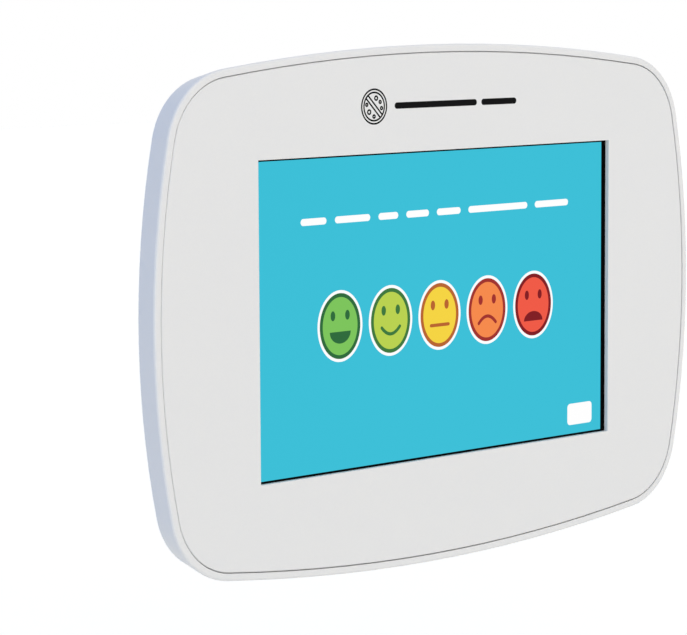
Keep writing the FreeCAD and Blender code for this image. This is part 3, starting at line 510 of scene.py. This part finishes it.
@dataclass(frozen=True)
class FacedMetal:
    """Metal faced on a lathe: fine rings round its axis, and scuffs where a key rubs it."""

    name: str
    colour: str
    centre_x: float
    centre_z: float
    mirrored: bool = False
    roughness: float = 0.22
    ring_mm: float = 0.45
    scuff_mm: float = 6.5
    scratch_mm: float = 0.6
    scuff: float = 0.0

    def build(self) -> bpy.types.Material:
        """Make the material.

        Returns:
            A metal whose tone, roughness and relief follow rings drawn three times the real feed.
        """
        material, tree, place = blank(self.name)
        if self.mirrored:
            place = add(tree, "ShaderNodeVectorMath", {0: place}, operation="ABSOLUTE").outputs[0]
        flat = add(tree, "ShaderNodeVectorMath", {0: place, 1: (1.0, 0.0, 1.0)}, operation="MULTIPLY")
        axis = (self.centre_x * MM, 0.0, self.centre_z * MM)
        away = add(tree, "ShaderNodeVectorMath", {0: flat.outputs[0], 1: axis}, operation="DISTANCE")
        rings = add(tree, "ShaderNodeTexNoise",
                    {"W": away.outputs["Value"], "Scale": 1 / (self.ring_mm * MM), "Detail": 3.0},
                    noise_dimensions="1D")
        tone = add(tree, "ShaderNodeMix",
                   {0: rings.outputs["Fac"], 6: shade(self.colour, 0.8), 7: shade(self.colour, 1.1)},
                   data_type="RGBA")
        # fine criss-cross scratches gather round the key slot and fade out toward the rim
        near = add(tree, "ShaderNodeMapRange",
                   {"Value": away.outputs["Value"], "From Min": self.scuff_mm * MM, "From Max": MM,
                    "To Min": 0.0, "To Max": self.scuff})
        streak = add(tree, "ShaderNodeTexNoise",
                     {"Vector": place, "Scale": 1 / (self.scratch_mm * MM), "Detail": 5.0,
                      "Distortion": 2.0})
        worn = add(tree, "ShaderNodeMath", {0: near.outputs[0], 1: streak.outputs["Fac"]},
                   operation="MULTIPLY")
        dull = add(tree, "ShaderNodeMix",
                   {0: worn.outputs[0], 6: tone.outputs[2], 7: shade(self.colour, 0.45)},
                   data_type="RGBA")
        gloss = add(tree, "ShaderNodeMath", {0: worn.outputs[0], 1: 0.4, 2: self.roughness},
                    operation="MULTIPLY_ADD")
        relief = add(tree, "ShaderNodeBump",
                     {"Height": rings.outputs["Fac"], "Strength": 0.4, "Distance": 0.01 * MM})
        finish(tree, {"Base Color": dull.outputs[2], "Metallic": 1.0, "Roughness": gloss.outputs[0],
                      "Normal": relief.outputs[0]})
        return material


@dataclass(frozen=True)
class SoftRubber:
    """Moulded rubber or foam: matt, with pores and a dusty bloom."""

    name: str
    colour: str
    pore_mm: float = 0.8
    pore_depth_mm: float = 0.05
    bloom_mm: float = 7.0
    roughness: float = 0.85

    def build(self) -> bpy.types.Material:
        """Make the material.

        Returns:
            A matt surface with cell-like pores and paler dust on the high spots.
        """
        material, tree, place = blank(self.name)
        pores = add(tree, "ShaderNodeTexVoronoi", {"Vector": place, "Scale": 1 / (self.pore_mm * MM)})
        bloom = add(tree, "ShaderNodeTexNoise",
                    {"Vector": place, "Scale": 1 / (self.bloom_mm * MM), "Detail": 3.0})
        tone = add(tree, "ShaderNodeMix",
                   {0: bloom.outputs["Fac"], 6: shade(self.colour, 0.85), 7: shade(self.colour, 1.3)},
                   data_type="RGBA")
        relief = add(tree, "ShaderNodeBump",
                     {"Height": pores.outputs["Distance"], "Strength": 0.5,
                      "Distance": self.pore_depth_mm * MM})
        finish(tree, {"Base Color": tone.outputs[2], "Roughness": self.roughness,
                      "Normal": relief.outputs[0], "IOR": 1.52, "Specular IOR Level": 0.3})
        return material


@dataclass(frozen=True)
class CoatedSheet:
    """Circuit board, battery wrap or ribbon film: a thin lacquer over a pattern of tracks or creases."""

    name: str
    colour: str
    under: str
    pattern_mm: float = 2.0
    roughness: float = 0.35
    track_edge: float = 0.45

    def build(self) -> bpy.types.Material:
        """Make the material.

        Returns:
            Two tones in straight-edged cells, with the step between them in the relief.
        """
        material, tree, place = blank(self.name)
        cells = add(tree, "ShaderNodeTexVoronoi", {"Vector": place, "Scale": 1 / (self.pattern_mm * MM)},
                    distance="MANHATTAN", feature="F1")
        step = add(tree, "ShaderNodeMath", {0: cells.outputs["Distance"], 1: self.track_edge},
                   operation="GREATER_THAN")
        tone = add(tree, "ShaderNodeMix",
                   {0: step.outputs[0], 6: linear(self.colour), 7: linear(self.under)}, data_type="RGBA")
        relief = add(tree, "ShaderNodeBump",
                     {"Height": step.outputs[0], "Strength": 0.4, "Distance": 0.03 * MM})
        finish(tree, {"Base Color": tone.outputs[2], "Roughness": self.roughness,
                      "Normal": relief.outputs[0]})
        return material


# Sub-assemblies

@dataclass
class Assembly:
    """A group of pieces and CAD nodes that is built and dressed together."""

    nodes: dict[str, bpy.types.Object]

    def wear(self, material: bpy.types.Material, *names: str) -> None:
        """Give CAD nodes their real material.

        Args:
            material: what they are made of.
            names: the nodes' names.
        """
        for name in names:
            Bench.dress(self.nodes[name], material)
            log.info("dressed %s in %s", name, material.name)

    def fix(self, piece: bpy.types.Object, material: bpy.types.Material, slot: str) -> None:
        """Dress a new piece and let it ride on the head.

        Args:
            piece: the new piece.
            material: what it is made of.
            slot: not used.
        """
        Bench.dress(piece, material)
        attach(piece, "head")
        log.info("made %s", piece.name)


class Mood(Enum):
    """The five ratings from best to worst: fill, dark tone, and the mouth's sag in millimetres."""

    DELIGHTED = ("#7DC55C", "#2E6B3C", 5.2)
    PLEASED = ("#BAD250", "#3E783E", 3.0)
    NEUTRAL = ("#F5D442", "#B86430", 0.0)
    UNHAPPY = ("#F68A4C", "#A0322E", -3.0)
    UPSET = ("#F05A46", "#821C22", -4.4)


@dataclass
class RatingFaces(Assembly):
    """Five plain rating faces in a row, as thin layers on the picture, whose front is at level low.

    Sizes are in millimetres. A mouth whose sag passes open_sag is open, and any other is a stroke.
    """

    low: float
    first_x: float = -61.3
    pitch: float = 30.45
    z: float = -5.0
    width: float = 26.6
    height: float = 31.2
    halo: float = 1.3
    rim: float = 1.7
    layer: float = 0.03
    eye_size: tuple[float, float] = (2.7, 4.3)
    eye_side: float = 4.3
    eye_rise: float = 4.6
    open_sag: float = 4.0
    open_width: float = 12.4
    smile_drop: float = 2.4
    frown_drop: float = 7.4
    stroke_span: float = 11.0
    stroke: float = 1.5
    stroke_drop: float = 4.4

    def build(self, white: bpy.types.Material) -> None:
        """Build every face.

        Args:
            white: the lit white round each face.
        """
        for place, mood in enumerate(Mood):
            fill, dark, sag = mood.value
            label = mood.name.lower()
            bright = LitPicture(f"lit_{label}_fill", fill).build()
            deep = LitPicture(f"lit_{label}_line", dark).build()
            self.face(label, self.first_x + place * self.pitch, sag, white, bright, deep)

    def face(self, label: str, x: float, sag: float, white: bpy.types.Material,
             bright: bpy.types.Material, deep: bpy.types.Material) -> None:
        """Build one face.

        Args:
            label: the mood's name.
            x: the face's centre.
            sag: how far the mouth hangs in its middle.
            white: the halo's colour.
            bright: the face's colour.
            deep: the colour of its rim, eyes and mouth.
        """
        insets = (("halo", 0.0, white), ("rim", self.halo, deep), ("fill", self.halo + self.rim, bright))
        for layer, (part, inset, material) in enumerate(insets):
            outline = oval(self.width - 2 * inset, self.height - 2 * inset, x, self.z)
            self.layer_of(f"{label}_{part}", outline, layer, material)
        top = len(insets)
        for side, eye_x in (("left", x - self.eye_side), ("right", x + self.eye_side)):
            eye = oval(*self.eye_size, eye_x, self.z + self.eye_rise, steps=36)
            self.layer_of(f"{label}_eye_{side}", eye, top, deep)
        self.layer_of(f"{label}_mouth", self.mouth(x, sag), top, deep)

    def mouth(self, x: float, sag: float) -> Outline:
        """Outline a mouth: open where it hangs or rises far, and otherwise a stroke.

        Args:
            x: the face's centre.
            sag: how far the mouth hangs in its middle.

        Returns:
            Its corners, counter-clockwise.
        """
        if abs(sag) > self.open_sag:
            drop = self.smile_drop if sag > 0 else self.frown_drop
            return open_smile(self.open_width, sag, x, self.z - drop)
        return bow(self.stroke_span, sag, self.stroke, x, self.z - self.stroke_drop + sag / 2)

    def layer_of(self, name: str, outline: Outline, layer: int, material: bpy.types.Material) -> None:
        """Add one layer of a face at its depth in the picture."""
        low = self.low + layer * self.layer
        self.fix(Bench.plate(name, outline, low, low + self.layer), material, "screen_glass")


@dataclass
class Screen(Assembly):
    """The tablet's glass with the lit picture on it, in millimetres."""

    lit_width: float = 216.96
    lit_height: float = 135.48
    lit_x: float = -1.52
    lit_z: float = 0.09
    lit_corner: float = 0.2
    sheet: float = 0.04
    print_sheet: float = 0.03
    bar_widths: tuple[float, ...] = (15.0, 21.0, 12.0, 14.0, 15.0, 38.5, 22.5)
    bar_gap: float = 5.0
    bar_height: float = 3.0
    bar_z: float = 41.0
    badge_size: tuple[float, float] = (16.8, 10.0)
    badge_corner: float = 1.8
    badge_place: tuple[float, float] = (92.4, -58.6)

    def build(self) -> None:
        """Dress the glass and lay the picture on it."""
        self.wear(CoatedGlass("anti_glare_glass").build(), "cover_glass")
        field = LitPicture("lit_cyan", "#3CC0D8").build()
        white = LitPicture("lit_white", "#FFFFFF").build()
        glass = -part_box("cover_glass")[0].y / MM
        front = glass + self.sheet
        outline = rounded_box(self.lit_width, self.lit_height, self.lit_corner, self.lit_x, self.lit_z,
                              steps=2)
        self.fix(Bench.plate("picture_field", outline, glass, front), field, "screen_glass")
        RatingFaces(self.nodes, front).build(white)
        self.top_bars(white, front)
        self.badge(white, front)

    def top_bars(self, white: bpy.types.Material, low: float) -> None:
        """Lay a row of plain round-ended bars over the faces.

        Args:
            white: the bars' lit white.
            low: the level of the picture's front.
        """
        x = -(sum(self.bar_widths) + self.bar_gap * (len(self.bar_widths) - 1)) / 2
        for number, width in enumerate(self.bar_widths, start=1):
            outline = rounded_box(width, self.bar_height, self.bar_height / 2, x + width / 2, self.bar_z)
            bar = Bench.plate(f"top_bar_{number}", outline, low, low + self.print_sheet)
            self.fix(bar, white, "screen_glass")
            x += width + self.bar_gap

    def badge(self, white: bpy.types.Material, low: float) -> None:
        """Lay a bare badge in the picture's lower right corner.

        Args:
            white: the badge's lit white.
            low: the level of the picture's front.
        """
        outline = rounded_box(*self.badge_size, self.badge_corner, *self.badge_place)
        badge = Bench.plate("badge", outline, low, low + self.print_sheet)
        self.fix(badge, white, "screen_glass")


@dataclass
class Enclosure(Assembly):
    """The panel, the drafted housing and the cover behind it."""

    def build(self) -> None:
        """Dress the shell in its moulded plastics."""
        panel = MouldedPlastic("panel_abs_satin", "#E2E2E2", drift=0.006)
        self.wear(panel.build(), "front_panel")
        housing = MouldedPlastic("housing_abs_satin", "#E2E2E2", grain_depth_mm=0.02)
        self.wear(housing.build(), "front_housing")
        cover = MouldedPlastic("cover_abs_grained", "#DADADB", roughness=0.55, grain_mm=1.3,
                               grain_depth_mm=0.16, drift=0.02, painted_pit_shade=0.045)
        self.wear(cover.build(), "rear_cover")
        self.wear(SoftRubber("foam_tape", "#3F3F41").build(), "panel_tape", "foam_pads")
        self.wear(SoftRubber("gasket_rubber", "#0C0C0C", pore_mm=0.5).build(), "window_gasket")
        grommet = SoftRubber("grommet_rubber", "#141414", pore_mm=0.6, pore_depth_mm=0.02)
        self.wear(grommet.build(), "cable_grommet")


@dataclass
class PrintedSign(Assembly):
    """A plain hygiene sign and two bars beside it, printed on the panel over the screen.

    Sizes are in millimetres. Each drop is its x, z and radius and each bar its middle and width, all
    from the sign's centre.
    """

    x: float = -42.4
    z: float = 89.0
    rings: tuple[float, float] = (7.45, 6.1)
    slant: float = 0.85
    line: float = 0.75
    drops: tuple[tuple[float, float, float], ...] = (
        (1.2, 3.6, 0.85), (3.6, 1.9, 0.6), (4.4, -0.8, 0.6), (-4.4, 0.9, 0.6), (-3.0, -2.3, 0.9),
        (-0.1, -4.3, 0.65))
    bars: tuple[tuple[float, float], ...] = ((38.0, 51.3), (77.9, 22.7))
    bar_height: float = 2.8
    film: float = 0.02

    def build(self) -> None:
        """Print two rings, a slanted band of two lines, six small rings for drops, and two bars."""
        ink = PrintedInk("matt_screen_ink").build()
        for number, radius in enumerate(self.rings, start=1):
            self.ring(f"sign_ring_{number}", self.x, self.z, radius, ink)
        for number, (x, z, radius) in enumerate(self.drops, start=1):
            self.ring(f"sign_drop_{number}", self.x + x, self.z + z, radius, ink, steps=24)
        for number, side in enumerate((-self.slant, self.slant), start=1):
            self.stamp(f"sign_line_{number}", self.chord(side), ink)
        for number, (middle_x, width) in enumerate(self.bars, start=1):
            outline = rounded_box(width, self.bar_height, self.bar_height / 2, self.x + middle_x, self.z)
            self.stamp(f"sign_bar_{number}", outline, ink)

    def ring(self, name: str, x: float, z: float, radius: float, ink: bpy.types.Material,
             steps: int = 72) -> None:
        """Print a ring.

        Args:
            name: the piece's name.
            x: its centre along x.
            z: its centre along z.
            radius: the radius of its line's middle.
            ink: what it is printed in.
            steps: straight runs round it.
        """
        wide = 2 * radius + self.line
        narrow = 2 * radius - self.line
        outer = oval(wide, wide, x, z, steps)
        inner = oval(narrow, narrow, x, z, steps)
        front = self.front()
        self.fix(Bench.band(name, outer, inner, front, front + self.film), ink, "camera_black")

    def stamp(self, name: str, outline: Outline, ink: bpy.types.Material) -> None:
        """Print a filled outline in ink on the panel's front."""
        front = self.front()
        self.fix(Bench.plate(name, outline, front, front + self.film), ink, "camera_black")

    def chord(self, side: float) -> Outline:
        """Outline one slanted line, whose ends meet the inner ring.

        Args:
            side: how far its middle is from the sign's centre.

        Returns:
            Its four corners, counter-clockwise.
        """
        half = self.line / 2
        reach = min(self.rings) - half
        tilt = math.sqrt(0.5)
        corners = []
        for edge, ends in ((side - half, (-1, 1)), (side + half, (1, -1))):
            for end in ends:
                along = end * math.sqrt(reach * reach - edge * edge)
                corners.append((self.x + tilt * (edge + along), self.z + tilt * (edge - along)))
        return corners

    @staticmethod
    def front() -> float:
        """Find the level of the panel's front in millimetres."""
        return -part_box("front_panel")[0].y / MM


@dataclass
class StandMount(Assembly):
    """The brass inserts and the plated steel behind the tablet."""

    bolt_spacing: float = 75.0

    def build(self) -> None:
        """Dress the inserts, the tray and its screws."""
        reach = self.bolt_spacing / 2
        brass = FacedMetal("faced_brass", "#C9A45C", reach, reach, mirrored=True, roughness=0.3)
        self.wear(brass.build(), "stand_inserts")
        zinc = WorkedMetal("rolled_zinc_steel", "#B4B7BA", Cut.ROLLED, roughness=0.38, line_mm=0.8)
        self.wear(zinc.build(), "tablet_tray")
        screw = WorkedMetal("turned_zinc_steel", "#A9ABAD", Cut.TURNED, roughness=0.3)
        self.wear(screw.build(), "tray_screws", "board_screws")


@dataclass
class KeyLock(Assembly):
    """The key lock: chromed body and plug, plated nut, cam and screw."""

    def build(self) -> None:
        """Dress the lock."""
        axis = middle("lock_body")
        body = FacedMetal("bright_chrome", "#CDD0D3", *axis, roughness=0.14).build()
        self.wear(body, "lock_body")
        plug = FacedMetal("scuffed_chrome", "#BDC0C4", *axis, roughness=0.2, scuff=0.9).build()
        self.wear(plug, "lock_plug")
        plate = WorkedMetal("stamped_zinc_steel", "#A4A6A8", Cut.ROLLED, roughness=0.4)
        self.wear(plate.build(), "lock_nut", "lock_cam", "cam_screw")


@dataclass
class Tablet(Assembly):
    """The tablet's inner pieces behind its glass."""

    def build(self) -> None:
        """Dress each inner piece."""
        shell = MouldedPlastic("shell_pc_black", "#141415", roughness=0.5, grain_mm=1.0,
                               grain_depth_mm=0.03, drift=0.05, painted_pit_shade=0.15)
        self.wear(shell.build(), "tablet_back", "camera_module", "speaker_boxes")
        key = MouldedPlastic("key_pc_black", "#1A1A1B", roughness=0.35, grain_mm=0.8,
                             grain_depth_mm=0.02, drift=0.05, painted_pit_shade=0.1)
        self.wear(key.build(), "power_key", "volume_key")
        cast = WorkedMetal("cast_magnesium", "#6C6E72", Cut.CAST, roughness=0.45, line_mm=1.2)
        self.wear(cast.build(), "tablet_frame")
        sheet = WorkedMetal("rolled_aluminium", "#C6C8CB", Cut.ROLLED, roughness=0.3)
        self.wear(sheet.build(), "backlight")
        tinned = WorkedMetal("tinned_steel", "#B7B9B8", Cut.ROLLED, roughness=0.28)
        self.wear(tinned.build(), "shield_cans", "usb_port", "key_switches")
        self.wear(CoatedSheet("solder_mask", "#0E4A2C", "#155E38").build(), "main_board")
        wrap = CoatedSheet("battery_wrap", "#1E1E20", "#262629", pattern_mm=9.0, roughness=0.45)
        self.wear(wrap.build(), "battery_pack")
        cell = CoatedSheet("display_cell", "#0C0D10", "#101216", pattern_mm=0.6, roughness=0.2)
        self.wear(cell.build(), "display_panel")
        film = CoatedSheet("polyimide_film", "#A86A18", "#8A5410", pattern_mm=1.2, roughness=0.3)
        self.wear(film.build(), "display_flex", "antenna_strips")


@dataclass
class Studio:
    """Pale floor, even light and the photograph's view."""

    floor_z: float = -0.26
    floor_size: float = 12.0
    roller_mm: float = 3.0
    camera_place: tuple[float, float, float] = (-0.93648, -0.95778, 0.13981)
    camera_right: tuple[float, float, float] = (0.7270, -0.6866, -0.0055)
    camera_up: tuple[float, float, float] = (0.0794, 0.0761, 0.9939)
    camera_ahead: tuple[float, float, float] = (0.6820, 0.7230, -0.1098)
    lens_mm: float = 156.1
    film_mm: float = 36.0
    sky: str = "#FFFCF7"
    cool_tint: str = "#3473B4"
    cool_side: tuple[float, float, float] = (-0.6, 0.3, 0.62)
    cool_edge: tuple[float, float] = (0.4, 0.9)
    sky_strength: float = 1.1
    key_gain: float = 1.2
    key_side: tuple[float, float, float] = (-0.9, -0.47, -0.2)
    key_edge: tuple[float, float] = (0.35, 0.95)
    floor_paint: str = "#FFFAEE"
    floor_lift: float = 0.28

    def build(self) -> None:
        """Set up the whole studio."""
        bpy.context.scene.view_settings.view_transform = "Standard"
        self.floor()
        self.light()
        self.camera()

    def floor(self) -> None:
        """Lay a pale floor well below the head, which hangs on its stand's bolts."""
        Bench.clear()
        bpy.ops.mesh.primitive_plane_add(size=self.floor_size, location=(0.0, 0.0, self.floor_z))
        floor = Bench.named("studio_floor")
        material, tree, place = blank("matt_floor_paint")
        roller = add(tree, "ShaderNodeTexNoise",
                     {"Vector": place, "Scale": 1 / (self.roller_mm * MM), "Detail": 2.0})
        relief = add(tree, "ShaderNodeBump",
                     {"Height": roller.outputs["Fac"], "Strength": 0.1, "Distance": 0.05 * MM})
        paint = add(tree, "ShaderNodeBsdfDiffuse",
                    {"Color": linear(self.floor_paint), "Normal": relief.outputs[0]})
        # what is seen directly or mirrored is lifted to white, and the head's shadow stays in it
        lift = add(tree, "ShaderNodeMath", {0: self.seen(tree), 1: self.floor_lift},
                   operation="MULTIPLY")
        glow = add(tree, "ShaderNodeEmission", {"Color": linear("#FFFFFF"), "Strength": lift.outputs[0]})
        both = add(tree, "ShaderNodeAddShader", {0: paint.outputs[0], 1: glow.outputs[0]})
        # seen from below, the floor is clear, so that it doesn't hide the head
        under = add(tree, "ShaderNodeNewGeometry").outputs["Backfacing"]
        clear = add(tree, "ShaderNodeBsdfTransparent")
        sides = add(tree, "ShaderNodeMixShader",
                    {0: under, 1: both.outputs[0], 2: clear.outputs[0]})
        add(tree, "ShaderNodeOutputMaterial", {"Surface": sides.outputs[0]})
        Bench.dress(floor, material)

    @staticmethod
    def seen(tree: bpy.types.NodeTree) -> bpy.types.NodeSocket:
        """Give 1 for what a direct view, a reflection or a view through glass sees, and 0 for light.

        Args:
            tree: the node tree that asks.

        Returns:
            The output socket with the answer.
        """
        path = add(tree, "ShaderNodeLightPath")
        answer = path.outputs["Is Camera Ray"]
        for ray in ("Is Glossy Ray", "Is Transmission Ray"):
            answer = add(tree, "ShaderNodeMath", {0: answer, 1: path.outputs[ray]},
                         operation="MAXIMUM").outputs[0]
        return answer

    @staticmethod
    def lobe(tree: bpy.types.NodeTree, side: tuple[float, float, float],
             edge: tuple[float, float], gain: tuple[float, float]) -> bpy.types.NodeSocket:
        """Give a value that swells smoothly toward one side of the sky.

        Args:
            tree: the world's node tree.
            side: the direction of the swell's middle.
            edge: the cosines at which it starts and is full.
            gain: its value outside and in the middle.

        Returns:
            The output socket with the value.
        """
        way = add(tree, "ShaderNodeTexCoord").outputs["Generated"]
        facing = add(tree, "ShaderNodeVectorMath", {0: way, 1: Vector(side).normalized()},
                     operation="DOT_PRODUCT")
        swell = add(tree, "ShaderNodeMapRange",
                    {"Value": facing.outputs["Value"], "From Min": edge[0], "From Max": edge[1],
                     "To Min": gain[0], "To Max": gain[1]}, interpolation_type="SMOOTHSTEP")
        return swell.outputs[0]

    def light(self) -> None:
        """Light the head evenly from all round, stronger from its front left and cooler behind that."""
        world = bpy.data.worlds.new("studio_light")
        world.use_nodes = True
        bpy.context.scene.world = world
        tree = world.node_tree
        tree.nodes.clear()
        share = self.lobe(tree, self.cool_side, self.cool_edge, (0.0, 1.0))
        colour = add(tree, "ShaderNodeMix", {0: share, 6: linear(self.sky), 7: linear(self.cool_tint)},
                     data_type="RGBA")
        gain = (self.sky_strength, self.sky_strength + self.key_gain)
        strength = self.lobe(tree, self.key_side, self.key_edge, gain)
        soft = add(tree, "ShaderNodeBackground", {"Color": colour.outputs[2], "Strength": strength})
        white = add(tree, "ShaderNodeBackground", {"Color": linear("#FFFFFF"), "Strength": 1.0})
        both = add(tree, "ShaderNodeMixShader",
                   {0: self.seen(tree), 1: soft.outputs[0], 2: white.outputs[0]})
        add(tree, "ShaderNodeOutputWorld", {"Surface": both.outputs[0]})

    def camera(self) -> None:
        """Place the camera where the photograph's perspective puts it."""
        data = bpy.data.cameras.new("photo_view")
        data.sensor_fit = "HORIZONTAL"
        data.sensor_width = self.film_mm
        data.lens = self.lens_mm
        camera = bpy.data.objects.new("photo_view", data)
        bpy.context.scene.collection.objects.link(camera)
        back = tuple(-value for value in self.camera_ahead)
        turn = Matrix((self.camera_right, self.camera_up, back)).transposed().to_4x4()
        camera.matrix_world = Matrix.Translation(self.camera_place) @ turn
        bpy.context.scene.camera = camera


def main() -> None:
    """Build the studio and every sub-assembly."""
    logging.basicConfig(level=logging.INFO, format="%(message)s")
    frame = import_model()
    nodes = frame["nodes"]
    Studio().build()
    for assembly in (Enclosure, PrintedSign, Screen, StandMount, KeyLock, Tablet):
        log.info("building %s", assembly.__name__)
        assembly(nodes).build()


if __name__ == "__main__":
    main()
